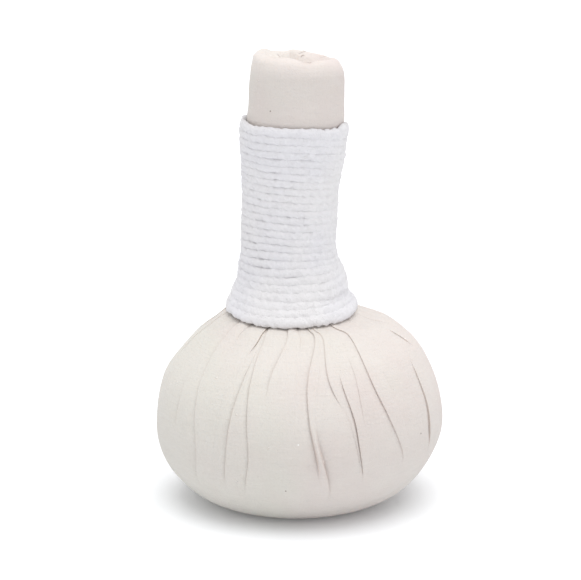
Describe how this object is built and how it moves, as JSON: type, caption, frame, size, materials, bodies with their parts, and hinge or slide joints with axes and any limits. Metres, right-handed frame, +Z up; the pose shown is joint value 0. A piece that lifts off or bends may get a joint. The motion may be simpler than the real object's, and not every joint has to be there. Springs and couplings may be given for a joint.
{
  "type": "herbal compress ball",
  "caption": "Cloth ball packed with dried herbs for massage, its gathered corners rolled into an upright handle bound with cotton cord.",
  "frame": {"origin": "centre of the box of the whole object, at the flat base that it stands on", "axes": "+Z up the handle, -Y the front, where the neck sits lowest; the handle leans a little to -X"},
  "size_m": [0.0964, 0.0964, 0.1511],
  "materials": {
    "calico_cloth": "unbleached plain-weave calico with slubs and a few dark seed flecks, matt",
    "cotton_cord": "soft bleached cotton cord, lightly twisted, fuzzy, matt",
    "chopped_herb": "dry, finely chopped mixed herb, matt",
    "lemongrass_straw": "dry fibrous straw, satin",
    "lime_peel": "dried citrus peel, pitted, satin",
    "turmeric": "dried turmeric slice, ringed, matt",
    "cassumunar_ginger": "dried ginger slice, ringed, matt",
    "camphor": "waxy white crystal lump"
  },
  "bodies": {
    "root": {"pouch_cloth": "calico_cloth", "herb_filling": "chopped_herb", "neck_gather": "calico_cloth", "neck_tie": "cotton_cord", "corner_core_roll": "calico_cloth", "corner_fold_left": "calico_cloth", "corner_fold_right": "calico_cloth", "corner_wrap": "calico_cloth", "tucked_tip": "calico_cloth", "binding_cord": "cotton_cord", "lemongrass_stem_1": "lemongrass_straw", "lemongrass_stem_2": "lemongrass_straw", "lemongrass_stem_3": "lemongrass_straw", "lemongrass_stem_4": "lemongrass_straw", "lemongrass_stem_5": "lemongrass_straw", "lemongrass_stem_6": "lemongrass_straw", "lemongrass_stem_7": "lemongrass_straw", "lime_peel_1": "lime_peel", "turmeric_slice_1": "turmeric", "ginger_slice_1": "cassumunar_ginger", "camphor_lump_1": "camphor", "lime_peel_2": "lime_peel", "turmeric_slice_2": "turmeric", "ginger_slice_2": "cassumunar_ginger", "camphor_lump_2": "camphor", "lime_peel_3": "lime_peel", "turmeric_slice_3": "turmeric", "ginger_slice_3": "cassumunar_ginger", "camphor_lump_3": "camphor"}
  },
  "joints": []
}
